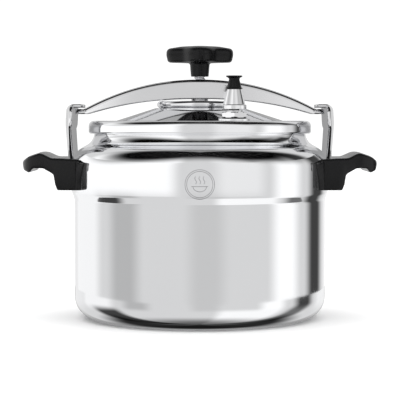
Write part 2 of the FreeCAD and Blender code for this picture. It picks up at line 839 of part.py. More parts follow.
def arch_edge(points, y):
    curve = Part.BSplineCurve()
    curve.interpolate([V(x, y, z) for x, z in points])
    return curve.toShape()


def bow_side(top_points, bottom_points, y):
    edges = [arch_edge(top_points, y), arch_edge(bottom_points, y)]
    for end in (0, -1):
        edges.append(Part.makeLine(V(top_points[end][0], y, top_points[end][1]),
                                   V(bottom_points[end][0], y, bottom_points[end][1])))
    return Part.Face(Part.Wire(Part.__sortEdges__(edges)))


def bow_channel():
    """An inverted channel arched over the lid, deepest at the middle, with a solid tongue at each end."""
    top_reach = bow_reach - tongue_top_length
    bottom_reach = bow_reach - tongue_bottom_length
    hollow_reach = bow_reach - tongue_length
    top = arch(bow_crown, bow_top_rise, top_reach, bow_top_power)
    bottom = arch(bow_flange_bottom, bow_bottom_rise, bottom_reach, bow_bottom_power)
    blank = bow_side(top, bottom, -bow_half_width).extrude(V(0, 2 * bow_half_width, 0))
    ceiling = arch(web_underside, bow_top_rise, top_reach, bow_top_power, hollow_reach)
    room = bow_half_width - bow_wall
    floor = tongue_bottom - 20
    corners = [V(ceiling[0][0], -room, ceiling[0][1]), V(-hollow_reach, -room, floor),
               V(hollow_reach, -room, floor), V(ceiling[-1][0], -room, ceiling[-1][1])]
    edges = [arch_edge(ceiling, -room)]
    for first, second in zip(corners, corners[1:]):
        edges.append(Part.makeLine(first, second))
    hollow = Part.Face(Part.Wire(Part.__sortEdges__(edges))).extrude(V(0, 2 * room, 0))
    bow = blank.cut(hollow)
    run = tongue_bottom_length + 1
    for side in (1, -1):
        start = bow_reach - run if side > 0 else -bow_reach
        tongue = Part.makeBox(run, 2 * bow_half_width, tongue_thickness, V(start, -bow_half_width, tongue_bottom))
        tongue = tongue.makeFillet(bow_half_width * 0.45, end_edges(tongue, side * bow_reach))
        bow = bow.fuse(tongue)
    return bow.cut(barrel(clamp_screw_radius + bow_hole_gap, web_underside - 10, bow_crown + 2))


def end_edges(solid, x):
    """The upright edges of a block at one x."""
    found = []
    for edge in solid.Edges:
        box = edge.BoundBox
        upright = box.ZLength > 1 and box.XLength < 0.01 and box.YLength < 0.01
        if upright and abs(box.XMin - x) < 0.01:
            found.append(edge)
    return found


def bow_nut():
    """The threaded boss under the bow's web, with a flange that beds on it."""
    bottom = web_underside - bow_nut_height
    web_fall = bow_top_rise * (bow_nut_radius / (bow_reach - tongue_top_length)) ** bow_top_power
    boss = barrel(bow_nut_radius, bottom, web_underside - web_fall - push_in_gap)
    return boss.cut(barrel(clamp_screw_radius + running_fit, bottom - 1, web_underside + 1))


# ---- clamp screw, foot and knob -----------------------------------------------------------------------------------------------------------
def clamp_screw():
    shoulder = hub_top + resting_gap
    top = insert_top
    screw = barrel(clamp_screw_radius, shoulder, top)
    screw = screw.fuse(barrel(clamp_tip_radius, tip_bottom, shoulder))
    groove = ring(clamp_tip_radius + 1, groove_radius, clip_bottom - running_fit,
                  clip_bottom + clip_thickness + running_fit)
    return screw.cut(groove)


def pressure_foot():
    """The swivel foot: a plate that bears on the dish and a hub that holds the screw's tip."""
    outside = [
        (0, foot_bottom, 0),
        (foot_radius, foot_bottom, 1.0),
        (foot_radius, foot_plate_top - 1, 1.0),
        (foot_hub_radius, foot_plate_top, 1.0),
        (foot_hub_radius, hub_top, 0.6),
        (0, hub_top, 0),
    ]
    foot = turned(outside)
    foot = foot.cut(barrel(clamp_tip_radius + running_fit, foot_bottom + foot_floor, hub_top + 1))
    return foot.cut(barrel(clip_radius + push_in_gap, clip_bottom - push_in_gap,
                           clip_bottom + clip_thickness + push_in_gap))


def foot_clip():
    """The open ring in the foot's groove that keeps the screw's tip in."""
    clip = ring(clip_radius, groove_radius + running_fit, clip_bottom, clip_bottom + clip_thickness)
    gap = Part.makeBox(clip_radius + 1, 3.0, clip_thickness + 2, V(0, -1.5, clip_bottom - 1))
    return clip.cut(gap)


def knob_outline(height):
    """The knob's edge: its radius swings between lobe and notch, once for each lobe."""
    swing = knob_notch_depth / 2
    mean = knob_lobe_radius - swing
    count = knob_lobes * 6
    points = []
    for number in range(count):
        angle = 2 * math.pi * number / count
        radius = mean + swing * math.cos(knob_lobes * angle)
        points.append(V(radius * math.cos(angle), radius * math.sin(angle), height))
    curve = Part.BSplineCurve()
    curve.interpolate(points, PeriodicFlag=True)
    return Part.Wire(curve.toShape())


def knob():
    grip = Part.Face(knob_outline(knob_bottom)).extrude(V(0, 0, knob_top - knob_bottom))
    edge_height = knob_top - knob_crown_drop
    dome = [
        (0, knob_bottom, 0),
        (knob_lobe_radius - 1.2, knob_bottom, knob_edge_radius),
        (knob_lobe_radius + 0.8, knob_bottom + 6, 3),
        (knob_lobe_radius + 0.8, edge_height, 4),
        (knob_lobe_radius * 0.55, knob_top, 40),
        (0, knob_top, 0),
    ]
    grip = grip.common(turned(dome))
    stem = taper(knob_stem_bottom_radius, knob_stem_top_radius, stem_bottom, knob_bottom + 1)
    body = grip.fuse(stem)
    return body.cut(barrel(insert_radius + push_in_gap, stem_bottom - 1, insert_top + resting_gap))


def knob_insert():
    """The brass bush moulded into the knob, pinned on the screw."""
    return ring(insert_radius, clamp_screw_radius + push_in_gap, stem_bottom + 0.6, insert_top)


# ---- canning rack ---------------------------------------------------------------------------------------------------------------------------
def canning_rack():
    """A perforated disc with a turned-down edge that keeps jars off the pot's floor."""
    bottom = base_thickness + resting_gap
    top = bottom + rack_height
    edge = body_radius - rack_inset
    sheet = [
        (edge, bottom, 0),
        (edge, top, 4),
        (0, top, 0),
    ]
    rack = turned_sheet(sheet, rack_sheet)
    holes = [barrel(rack_finger_radius, bottom, top + 1)]
    for place in range(1, rack_rings + 1):
        circle = place * rack_ring_spacing + 6
        count = place * rack_holes_per_ring
        for number in range(count):
            angle = 2 * math.pi * (number + 0.5) / count
            holes.append(barrel(rack_hole_radius, bottom, top + 1, circle * math.cos(angle),
                                circle * math.sin(angle)))
    return rack.cut(Part.makeCompound(holes))


def main():
    os.makedirs("parts", exist_ok=True)
    export("pot_shell", pot_shell())
    for name, make in (("hook_bracket", hook_bracket), ("handle", handle)):
        right, left = mirrored_pair(make())
        export(name + "_right", right)
        export(name + "_left", left)
    single = (bracket_rivets, handle_screws, lid_shell, gasket, centre_dish, dish_rivets, vent_washer, vent_stem,
              vent_nut, valve_needle, valve_weight, valve_cap, safety_washer, safety_valve_body, safety_nut,
              safety_cap, safety_pin, safety_spring, bow_channel, bow_nut, clamp_screw, pressure_foot, foot_clip,
              knob, knob_insert, canning_rack)
    for make in single:
        export(make.__name__, make())


main()
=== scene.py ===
import math

import bmesh
import bpy
import numpy as np
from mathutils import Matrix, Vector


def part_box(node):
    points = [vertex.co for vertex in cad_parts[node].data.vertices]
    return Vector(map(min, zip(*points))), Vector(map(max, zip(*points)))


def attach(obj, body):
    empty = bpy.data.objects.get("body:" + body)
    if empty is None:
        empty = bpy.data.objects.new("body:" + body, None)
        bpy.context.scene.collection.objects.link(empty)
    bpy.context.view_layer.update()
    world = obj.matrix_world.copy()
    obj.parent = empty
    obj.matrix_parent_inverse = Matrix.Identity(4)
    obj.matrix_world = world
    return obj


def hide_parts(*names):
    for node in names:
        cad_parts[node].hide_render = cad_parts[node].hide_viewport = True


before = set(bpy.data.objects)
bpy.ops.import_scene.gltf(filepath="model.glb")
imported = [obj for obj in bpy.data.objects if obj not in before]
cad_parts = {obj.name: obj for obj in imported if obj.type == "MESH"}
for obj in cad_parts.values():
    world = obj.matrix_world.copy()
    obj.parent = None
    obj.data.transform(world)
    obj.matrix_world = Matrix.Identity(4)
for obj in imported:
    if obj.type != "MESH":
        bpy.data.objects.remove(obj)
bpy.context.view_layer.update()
MM = 0.001


# ---- shapes -----------------------------------------------------------------------------------------------
def finish_mesh(name, points, faces, smooth=True):
    """A mesh object from points in millimetres, with doubled points merged and its faces turned outwards."""
    mesh = bpy.data.meshes.new(name)
    mesh.from_pydata((np.asarray(points, float) * MM).tolist(), [], faces)
    work = bmesh.new()
    work.from_mesh(mesh)
    bmesh.ops.remove_doubles(work, verts=work.verts, dist=1e-7)
    bmesh.ops.dissolve_degenerate(work, edges=work.edges, dist=1e-8)
    bmesh.ops.recalc_face_normals(work, faces=work.faces)
    work.to_mesh(mesh)
    work.free()
    mesh.polygons.foreach_set("use_smooth", np.full(len(mesh.polygons), smooth))
    piece = bpy.data.objects.new(name, mesh)
    bpy.context.scene.collection.objects.link(piece)
    return piece


def grid_faces(rows, columns, wrap_rows, wrap_columns, start=0):
    """Quads over a rows x columns grid of points, joined round where a direction wraps."""
    row = np.arange(rows if wrap_rows else rows - 1)
    column = np.arange(columns if wrap_columns else columns - 1)
    row, column = np.meshgrid(row, column, indexing="ij")
    below = (row + 1) % rows
    right = (column + 1) % columns
    quads = np.stack([row * columns + column, row * columns + right, below * columns + right,
                      below * columns + column], axis=-1)
    return (quads.reshape(-1, 4) + start).tolist()


def surface(name, grid, wrap_rows=False, wrap_columns=True, capped=True):
    """A grid of points as a surface; capped closes the first and last rows with one face each."""
    rows, columns = grid.shape[:2]
    faces = grid_faces(rows, columns, wrap_rows, wrap_columns)
    if capped:
        faces.append(list(range(columns))[::-1])
        faces.append(list(range((rows - 1) * columns, rows * columns)))
    return finish_mesh(name, grid.reshape(-1, 3), faces)


def offset_outline(points, distance):
    """The outline moved to its left by distance: each side is moved, and neighbours meet where they cross."""
    place = np.array([p[:2] for p in points], float)
    along = np.diff(place, axis=0)
    along /= np.linalg.norm(along, axis=1)[:, None]
    normal = np.stack([-along[:, 1], along[:, 0]], axis=1)
    moved = [(*(place[0] + normal[0] * distance), 0.0)]
    for k in range(1, len(points) - 1):
        side = 1.0 if along[k - 1, 0] * along[k, 1] - along[k - 1, 1] * along[k, 0] > 0 else -1.0
        share = distance / (1 + float(normal[k - 1] @ normal[k]))
        corner = place[k] + (normal[k - 1] + normal[k]) * share
        moved.append((*corner, max(points[k][2] - side * distance, 0.0)))
    moved.append((*(place[-1] + normal[-1] * distance), 0.0))
    return moved


def rounded(points, turn_step=7.0, edge_hold=0.35):
    """Points along an outline of (across, up, corner radius) corners: straight runs joined by tangent arcs.

    Each corner is cut back by radius x tan(turn / 2) and swept by equal steps of angle; a point close to each
    end of a straight run holds the shading flat.
    """
    path = [np.array(points[0][:2], float)]
    for before, corner, after in zip(points, points[1:], points[2:]):
        here = np.array(corner[:2], float)
        into = here - np.array(before[:2], float)
        away = np.array(after[:2], float) - here
        into /= np.linalg.norm(into)
        away /= np.linalg.norm(away)
        turn = math.acos(float(np.clip(into @ away, -1, 1)))
        if corner[2] <= 0 or turn < 1e-4:
            path.append(here)
            continue
        cut = corner[2] * math.tan(turn / 2)
        first = here - into * cut
        side = np.sign(into[0] * away[1] - into[1] * away[0])
        centre = first + side * corner[2] * np.array([-into[1], into[0]])
        steps = max(3, int(math.degrees(turn) / turn_step) + 1)
        angle = side * np.linspace(0, turn, steps + 1)
        spoke = first - centre
        sweep = np.stack([spoke[0] * np.cos(angle) - spoke[1] * np.sin(angle),
                          spoke[0] * np.sin(angle) + spoke[1] * np.cos(angle)], axis=1) + centre
        path.extend(sweep)
    path.append(np.array(points[-1][:2], float))
    held = [path[0]]
    for first, second in zip(path, path[1:]):
        run = np.linalg.norm(second - first)
        if run > 5 * edge_hold:
            held.append(first + (second - first) * edge_hold / run)
            held.append(second - (second - first) * edge_hold / run)
        if run > 1e-6:
            held.append(second)
    return np.array(held)


def lathe(name, outline, x=0.0, y=0.0, segments=192):
    """A turned piece: the outline's (radius, height) points carried round the vertical through (x, y).

    Point = (x + radius cos a, y + radius sin a, height). An outline that starts and ends on the axis is
    closed there; any other is a ring, closed on itself.
    """
    outline = np.asarray(outline, float)
    on_axis = outline[0, 0] < 1e-6 and outline[-1, 0] < 1e-6
    angle = np.linspace(0, 2 * math.pi, segments, endpoint=False)
    radius = outline[:, :1]
    grid = np.stack([x + radius * np.cos(angle), y + radius * np.sin(angle),
                     np.repeat(outline[:, 1:], segments, axis=1)], axis=-1)
    return surface(name, grid, wrap_rows=not on_axis, capped=False)


def arc(centre_across, centre_up, radius, start_deg, end_deg, steps=24):
    angle = np.radians(np.linspace(start_deg, end_deg, steps + 1))
    return np.stack([centre_across + radius * np.cos(angle), centre_up + radius * np.sin(angle)], axis=1)


def plate(name, middle, thickness, edge_steps=4):
    """A sheet of even thickness about a middle surface, with half-round edges along its columns' ends.

    Each point is moved along the surface's own normal by half the thickness, to one side and then back along
    the other, and the two sides are joined by a half circle at each edge.
    """
    down = np.gradient(middle, axis=0)
    across = np.gradient(middle, axis=1)
    normal = np.cross(down, across)
    normal /= np.linalg.norm(normal, axis=2)[:, :, None]
    outward = across / np.linalg.norm(across, axis=2)[:, :, None]
    half = thickness / 2
    turn = np.linspace(0, math.pi, edge_steps + 2)[1:-1]
    loop = [middle + normal * half]
    far = middle[:, -1:] - outward[:, -1:] * half
    near = middle[:, :1] + outward[:, :1] * half
    loop[0][:, -1:] -= outward[:, -1:] * half
    loop[0][:, :1] += outward[:, :1] * half
    back = (middle - normal * half)[:, ::-1].copy()
    back[:, :1] -= outward[:, -1:] * half
    back[:, -1:] += outward[:, :1] * half
    for angle in turn:
        loop.append(far + (normal[:, -1:] * math.cos(angle) + outward[:, -1:] * math.sin(angle)) * half)
    loop.append(back)
    for angle in turn:
        loop.append(near - (normal[:, :1] * math.cos(angle) + outward[:, :1] * math.sin(angle)) * half)
    return surface(name, np.concatenate(loop, axis=1))


def tube(name, path, radius, sides=10):
    """A round wire: a circle of the radius, square to the path at each of its points."""
    along = np.gradient(path, axis=0)
    along /= np.linalg.norm(along, axis=1)[:, None]
    reference = np.array([0.0, 1.0, 0.0])
    first = np.cross(along, reference)
    first /= np.linalg.norm(first, axis=1)[:, None]
    second = np.cross(along, first)
    angle = np.linspace(0, 2 * math.pi, sides, endpoint=False)
    ring = first[:, None] * np.cos(angle)[None, :, None] + second[:, None] * np.sin(angle)[None, :, None]
    return surface(name, path[:, None] + ring * radius)


# ---- shader maths -----------------------------------------------------------------------------------------
class Value:
    """A socket that takes part in Python arithmetic, adding a Math node for each operation."""

    def __init__(self, maker, socket):
        self.maker = maker
        self.socket = socket

    def _with(self, operation, first, second):
        return self.maker.add("ShaderNodeMath", {"operation": operation}, {0: first, 1: second})

    def __add__(self, other):
        return self._with("ADD", self, other)

    def __sub__(self, other):
        return self._with("SUBTRACT", self, other)

    def __rsub__(self, other):
        return self._with("SUBTRACT", other, self)

    def __mul__(self, other):
        return self._with("MULTIPLY", self, other)

    def __truediv__(self, other):
        return self._with("DIVIDE", self, other)

    __radd__ = __add__
    __rmul__ = __mul__


class Nodes:
    """A node tree and the way its nodes are made."""

    def __init__(self, tree):
        self.tree = tree

    def add(self, kind, settings=None, inputs=None, output=0):
        node = self.tree.nodes.new(kind)
        for key, value in (settings or {}).items():
            setattr(node, key, value)
        for key, value in (inputs or {}).items():
            if isinstance(value, Value):
                self.tree.links.new(value.socket, node.inputs[key])
            else:
                node.inputs[key].default_value = value
        return Value(self, node.outputs[output])

    def smooth(self, value, low, high):
        return self.add("ShaderNodeMapRange", {"interpolation_type": "SMOOTHSTEP"},
                        {0: value, 1: low, 2: high})

    def mix(self, factor, first, second):
        return self.add("ShaderNodeMix", {"data_type": "RGBA"}, {0: factor, 6: first, 7: second}, output=2)

    def times(self, first, second):
        return self.add("ShaderNodeMix", {"data_type": "RGBA", "blend_type": "MULTIPLY"},
                        {0: 1.0, 6: first, 7: second}, output=2)

    def axes(self, vector):
        east = self.add("ShaderNodeSeparateXYZ", {}, {0: vector})
        split = east.socket.node
        return east, Value(self, split.outputs[1]), Value(self, split.outputs[2])

    def compass(self, east, north):
        """0 to 1 round the object: a half is the front, three quarters is the right."""
        turn = self.add("ShaderNodeMath", {"operation": "ARCTAN2"}, {0: east, 1: 0 - north})
        return turn / (2 * math.pi) + 0.5


class Finish(Nodes):
    """One material, from its name."""

    def __init__(self, name):
        self.material = bpy.data.materials.new(name)
        self.material.use_nodes = True
        super().__init__(self.material.node_tree)
        self.shader = self.tree.nodes["Principled BSDF"]

    def place(self):
        return self.add("ShaderNodeTexCoord", output="Object")

    def noise(self, scale, detail=3.0, stretch=(1, 1, 1), roughness=0.5):
        mapped = self.add("ShaderNodeMapping", {}, {"Vector": self.place(), "Scale": stretch})
        return self.add("ShaderNodeTexNoise", {}, {"Vector": mapped, "Scale": scale, "Detail": detail,
                                                   "Roughness": roughness})

    def height(self):
        return self.add("ShaderNodeSeparateXYZ", {}, {0: self.place()}, output=2)

    def blend(self, factor, first, second):
        return self.mix(factor, (*first, 1), (*second, 1))

    def bump(self, height, strength, distance):
        self.set("Normal", self.add("ShaderNodeBump", {}, {"Height": height, "Strength": strength,
                                                           "Distance": distance}))

    def set(self, socket, value):
        if isinstance(value, Value):
            self.tree.links.new(value.socket, self.shader.inputs[socket])
        else:
            self.shader.inputs[socket].default_value = value


def polished_metal(name, tint, dark_tint, low, high, spun=False):
    """Buffed metal: tone and gloss drift in soft clouds, with fine scratches, and turning lines if spun."""
    finish = Finish(name)
    cloud = finish.noise(14.0, 3.0)
    scratch = finish.noise(900.0, 2.0, stretch=(1, 1, 0.04))
    finish.set("Base Color", finish.blend(cloud, dark_tint, tint))
    finish.set("Metallic", 1.0)
    finish.set("Roughness", low + (cloud * 0.6 + scratch * 0.4) * (high - low))
    lines = scratch
    if spun:
        wave = finish.add("ShaderNodeMath", {"operation": "SINE"}, {0: finish.height() * 9000.0})
        lines = scratch * 0.6 + wave * 0.2
    finish.bump(lines, 0.05, 0.00002)
    return finish.material


def satin_metal(name, tint, dark_tint, low, high, grain=500.0):
    """Plain bright metal with a fine grain in its tone and gloss."""
    finish = Finish(name)
    fine = finish.noise(grain, 3.0)
    cloud = finish.noise(40.0, 2.0)
    finish.set("Base Color", finish.blend(cloud * 0.6 + fine * 0.4, dark_tint, tint))
    finish.set("Metallic", 1.0)
    finish.set("Roughness", low + fine * (high - low))
    finish.bump(fine, 0.12, 0.00004)
    return finish.material


def moulded_black():
    """Phenolic moulding: near-black, semi-gloss, with a faint flow mottling and orange-peel surface."""
    finish = Finish("moulded_black")
    flow = finish.noise(60.0, 4.0)
    peel = finish.noise(700.0, 2.0)
    finish.set("Base Color", finish.blend(flow, (0.003, 0.003, 0.0035), (0.006, 0.006, 0.0065)))
    finish.set("Roughness", 0.18 + flow * 0.10)
    finish.set("Specular IOR Level", 0.20)
    finish.bump(peel, 0.08, 0.00006)
    return finish.material


def soft_rubber():
    """Matt silicone with a dusty bloom."""
    finish = Finish("soft_rubber")
    bloom = finish.noise(120.0, 4.0)
    finish.set("Base Color", finish.blend(bloom, (0.20, 0.20, 0.205), (0.30, 0.30, 0.305)))
    finish.set("Roughness", 0.62 + bloom * 0.15)
    finish.bump(finish.noise(900.0), 0.15, 0.00005)
    return finish.material


def pressed_fibre():
    """Dark grey sealing fibre, with flecks."""
    finish = Finish("pressed_fibre")
    fleck = finish.noise(1500.0, 3.0)
    finish.set("Base Color", finish.blend(fleck, (0.05, 0.05, 0.05), (0.12, 0.12, 0.12)))
    finish.set("Roughness", 0.75 + fleck * 0.1)
    finish.bump(fleck, 0.3, 0.0001)
    return finish.material


def stamped_line_painted_shade():
    """The stamped mark's lines: a duller, rougher metal whose dark grey tone is painted shade, for the shade
    on the floor of the stamped grooves.
    """
    finish = Finish("stamped_line_painted_shade")
    fine = finish.noise(2500.0)
    # dark grey base colour: painted shade of the stamped grooves; the rougher gloss below is the real duller
    # finish
    finish.set("Base Color", finish.blend(fine, (0.24, 0.24, 0.25), (0.36, 0.36, 0.37)))
    finish.set("Metallic", 1.0)
    finish.set("Roughness", 0.42 + fine * 0.1)
    return finish.material


side_polish = polished_metal("side_polish", (0.93, 0.935, 0.945), (0.90, 0.905, 0.92), 0.035, 0.075, True)
lid_polish = polished_metal("lid_polish", (0.93, 0.935, 0.945), (0.90, 0.905, 0.92), 0.030, 0.060)
steel_polish = polished_metal("steel_polish", (0.86, 0.86, 0.87), (0.80, 0.80, 0.81), 0.06, 0.12)
chrome_plate = polished_metal("chrome_plate", (0.90, 0.90, 0.91), (0.85, 0.85, 0.86), 0.03, 0.07)
zinc_plate = satin_metal("zinc_plate", (0.72, 0.72, 0.74), (0.60, 0.60, 0.62), 0.22, 0.36)
satin_sheet = satin_metal("satin_sheet", (0.78, 0.785, 0.79), (0.70, 0.70, 0.71), 0.28, 0.42, 260.0)
turned_brass = satin_metal("turned_brass", (0.80, 0.62, 0.30), (0.66, 0.48, 0.20), 0.20, 0.32)
black_moulding = moulded_black()
grey_rubber = soft_rubber()
grey_fibre = pressed_fibre()
# the stamped mark's metal, darkened with painted shade for its grooves
mark_metal_painted_shade = stamped_line_painted_shade()


def dress(piece, body, slot, material, *nodes):
    """Puts a new piece on its body, in place of the CAD nodes it stands for."""
    piece.data.materials.clear()
    piece.data.materials.append(material)
    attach(piece, body)
    if nodes:
        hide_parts(*nodes)
    return piece


def finish_node(node, material):
    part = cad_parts[node]
    part.data.materials.clear()
    part.data.materials.append(material)


def top_of(node):
    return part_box(node)[1].z / MM


def bottom_of(node):
    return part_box(node)[0].z / MM


def half_width_of(node):
    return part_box(node)[1].x / MM


# ---- pot --------------------------------------------------------------------------------------------------
BELLY = half_width_of("pot_shell")
RIM = top_of("pot_shell")
POT_WALL = 2.8
POT_BASE = 4.5
SHOULDER_DEPTH = 39.5
BELLY_BAND = 31.5
STEP_INSET = 2.5
STEP_HALF_RISE = 3.5
STEP_ROUND = 7.0
BASE_ROUND = 23.0
SHOULDER_INSET = 22.9
SHOULDER_ROUND = 22.0
SHOULDER_SLOPE = math.radians(28.0)
THROAT_ROUND = 14.0
RIM_BEAD = 3.3
BELLY_TOP = RIM - SHOULDER_DEPTH
STEP = BELLY_TOP - BELLY_BAND
BODY = BELLY - STEP_INSET
NECK = BELLY - SHOULDER_INSET
RIM_BEAD_RADIUS = NECK - POT_WALL / 4


def pot_outline():
    """The pot's half section: from the middle of its underside up its outside, over the rim, back inside."""
    slope = SHOULDER_SLOPE
    peak = BELLY_TOP + SHOULDER_ROUND * (math.cos(slope) - (1 - math.sin(slope)) * math.tan(slope))
    throat = peak + (BELLY - NECK) * math.tan(slope)
    outside = [(0, 0, 0), (BODY, 0, BASE_ROUND), (BODY, STEP - STEP_HALF_RISE, STEP_ROUND),
               (BELLY, STEP + STEP_HALF_RISE, STEP_ROUND), (BELLY, peak, SHOULDER_ROUND),
               (NECK, throat, THROAT_ROUND), (NECK, RIM - RIM_BEAD, 0)]
    inside = offset_outline(outside, POT_WALL)
    inside[0] = (0, POT_BASE, 0)
    inside[1] = (BODY - POT_WALL, POT_BASE, BASE_ROUND - POT_WALL)
    outer = rounded(outside, 3.0)
    inner = rounded(inside, 6.0)
    bead_centre = RIM - RIM_BEAD
    outer_angle = -math.degrees(math.acos((NECK - RIM_BEAD_RADIUS) / RIM_BEAD))
    inner_angle = 180 + math.degrees(math.acos((RIM_BEAD_RADIUS - NECK + POT_WALL) / RIM_BEAD))
    bead = arc(RIM_BEAD_RADIUS, bead_centre, RIM_BEAD, outer_angle, inner_angle, 28)
    outer = outer[outer[:, 1] < bead[0, 1] - 0.2]
    inner = inner[inner[:, 1] < bead[-1, 1] - 0.2]
    return np.concatenate([outer, bead, inner[::-1]])


dress(lathe("pot_body", pot_outline(), segments=256), "pot", "polished_aluminium", side_polish,
      "pot_shell")


# ---- lid --------------------------------------------------------------------------------------------------
LID_WALL = 2.6
SKIRT = half_width_of("lid_shell")
SKIRT_FOOT = bottom_of("lid_shell")
SKIRT_DEPTH = 13.4
SKIRT_LIP = 2.4
CROWN_WIDTH = 9.0
TROUGH_INSET = 13.6
TROUGH_DEPTH = 4.9
CONE_TOP = 46.0
LID_TOP = top_of("lid_shell")
CROWN = SKIRT_FOOT + SKIRT_DEPTH
TROUGH = CROWN - TROUGH_DEPTH


def lid_outline():
    """The lid's half section: from the middle of its underside, round the skirt's foot, back over the top."""
    top_side = [(SKIRT, SKIRT_FOOT, 0), (SKIRT, CROWN, 5.5), (SKIRT - CROWN_WIDTH, CROWN, 3),
                (SKIRT - TROUGH_INSET, TROUGH, 3), (CONE_TOP, LID_TOP, 12), (0, LID_TOP, 0)]
    under_side = offset_outline(top_side, LID_WALL)
    over = rounded(top_side, 5.0)
    under = rounded(under_side, 6.0)
    foot = arc(SKIRT - SKIRT_LIP, SKIRT_FOOT + SKIRT_LIP, SKIRT_LIP, 270, 360, 8)
    over = over[(over[:, 0] < SKIRT - 0.001) | (over[:, 1] > SKIRT_FOOT + 3.0)]
    under = under[1:]
    return np.concatenate([under[::-1], [(SKIRT - LID_WALL, SKIRT_FOOT)], foot, over])


dress(lathe("lid_pressing", lid_outline(), segments=256), "lid", "polished_aluminium", lid_polish,
      "lid_shell")

DISH = 44.2
DISH_BEAD = 3.6
DISH_THICKNESS = 2.2
DISH_TOP = LID_TOP + DISH_THICKNESS


def dish_outline():
    """The dish's half section: a flat plate whose edge is rolled up into a bead and closed on itself."""
    centre = DISH - DISH_BEAD
    bead_up = LID_TOP + DISH_BEAD
    bead = arc(centre, bead_up, DISH_BEAD, -90, 205, 40)
    plate_top = rounded([(*bead[-1], 0), (centre - DISH_BEAD - 1.5, DISH_TOP, 1.5), (0, DISH_TOP, 0)], 10.0)
    return np.concatenate([[(0, LID_TOP)], [(centre - 4, LID_TOP)], bead, plate_top[1:]])


dress(lathe("pressure_dish", dish_outline(), segments=160), "lid", "polished_aluminium", lid_polish,
      "centre_dish")


# ---- weighted valve ---------------------------------------------------------------------------------------
valve_low, valve_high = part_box("valve_weight")
VALVE_X = (valve_low.x + valve_high.x) / 2 / MM
VALVE_Y = (valve_low.y + valve_high.y) / 2 / MM
WEIGHT_FOOT = valve_low.z / MM
WEIGHT_HEIGHT = 20.2
WEIGHT_TOP = WEIGHT_FOOT + WEIGHT_HEIGHT
VENT_BORE = 1.6
NOZZLE = 7.1
VENT_COLLAR = 1.7
HEX_HEIGHT = 5.6
HEX_CORNER = 13.9
SEAT_RISE = 7.1


def weight_outline():
    """Skirt, ledge and tall cone outside; nozzle room inside, up to a roof over the needle's collar."""
    outer = rounded([(9.6, WEIGHT_FOOT, 0), (12.2, WEIGHT_FOOT, 0.6), (12.2, WEIGHT_FOOT + 4.4, 0.7),
                     (11.1, WEIGHT_FOOT + 4.7, 0.2), (7.1, WEIGHT_TOP, 0.5), (3.4, WEIGHT_TOP, 0.2),
                     (3.4, WEIGHT_TOP + 6, 0.4), (0, WEIGHT_TOP + 6, 0)], 12.0, 0.15)
    inner = rounded([(0, WEIGHT_TOP - 6.4, 0), (6.2, WEIGHT_TOP - 6.4, 0.3), (6.2, WEIGHT_FOOT + 3.2, 0.3),
                     (9.6, WEIGHT_FOOT + 3.2, 0.3), (9.6, WEIGHT_FOOT, 0)], 15.0, 0.15)
    return np.concatenate([inner[:-1], outer])


def cap_outline():
    """Finger cap: lip, waisted body and a thin disc on top."""
    foot = WEIGHT_TOP
    top = top_of("valve_cap")
    return rounded([(0, foot + 0.02, 0), (8.3, foot + 0.02, 0.35), (8.3, foot + 1.1, 0.35),
                    (7.3, foot + 1.3, 0.3), (4.9, top - 2.6, 2.0), (7.6, top - 1.5, 0.5), (8.1, top - 1.2, 0.3), (8.1, top, 0.45),
                    (3.0, top, 0), (0, top - 0.3, 0)], 10.0, 0.12)


def vent_outline():
    """The outlet: stem under the lid, hexagon, collar and tapered nozzle, bored through."""
    foot = bottom_of("vent_stem")
    top = top_of("vent_stem")
    hex_foot = top - NOZZLE - VENT_COLLAR - HEX_HEIGHT
    return rounded([(VENT_BORE, foot, 0), (5.0, foot, 0.4), (5.0, hex_foot, 0.1), (12.3, hex_foot, 0.2),
                    (HEX_CORNER, hex_foot + 0.9, 0.5), (HEX_CORNER, hex_foot + 4.5, 0.5),
                    (11.9, hex_foot + HEX_HEIGHT, 0.3), (8.6, hex_foot + HEX_HEIGHT + 0.1, 0.2),
                    (8.6, top - NOZZLE - 0.2, 0.4), (5.2, top - NOZZLE, 0.3), (4.4, top, 0.4),
                    (VENT_BORE + 1.4, top, 0.2), (VENT_BORE, top - 2.4, 0)], 12.0, 0.12)


dress(lathe("valve_weight_turned", weight_outline(), VALVE_X, VALVE_Y, 96), "weight", "chromed_brass",
      chrome_plate, "valve_weight")
dress(lathe("valve_finger_cap", cap_outline(), VALVE_X, VALVE_Y, 96), "weight", "black_bakelite",
      black_moulding, "valve_cap")


def vent_piece():
    """The outlet turned about its bore, its radius limited by a hexagon.

    Hexagon radius = corner x cos 30 / cos(angle within its side); the smaller of it and the outline's own
    radius leaves the rounded corners that a chamfered nut has.
    """
    vent = vent_outline()
    count = 96
    angle = np.linspace(0, 2 * math.pi, count, endpoint=False)
    within = (angle + math.pi / 6) % (math.pi / 3) - math.pi / 6
    flat = HEX_CORNER * math.cos(math.pi / 6) / np.cos(within)
    radius = np.minimum(vent[:, :1], flat[None, :])
    grid = np.stack([VALVE_X + radius * np.cos(angle), VALVE_Y + radius * np.sin(angle),
                     np.repeat(vent[:, 1:], count, axis=1)], axis=-1)
    piece = surface("vent_outlet", grid, wrap_rows=True, capped=False)
    piece.data.set_sharp_from_angle(angle=math.radians(28))
    return piece


dress(vent_piece(), "lid", "chromed_brass", chrome_plate, "vent_stem")


def seat_outline(radius):
    """The raised ring of the spot-faced seat round a valve's hexagon."""
    seat = TROUGH + SEAT_RISE
    return rounded([(radius - 2.2, seat - 6, 0), (radius - 2.2, seat, 0.4), (radius, seat, 0.8),
                    (radius, seat - 6, 0)], 15.0, 0.2)


def seat_ring(name, radius, x, y):
    dress(lathe(name, seat_outline(radius), x, y, 96), "lid", "polished_aluminium", lid_polish)


seat_ring("valve_seat", 16.0, VALVE_X, VALVE_Y)
safety_low, safety_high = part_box("safety_valve_body")
SAFETY_X = (safety_low.x + safety_high.x) / 2 / MM
SAFETY_Y = (safety_low.y + safety_high.y) / 2 / MM
seat_ring("safety_seat", 11.0, SAFETY_X, SAFETY_Y)


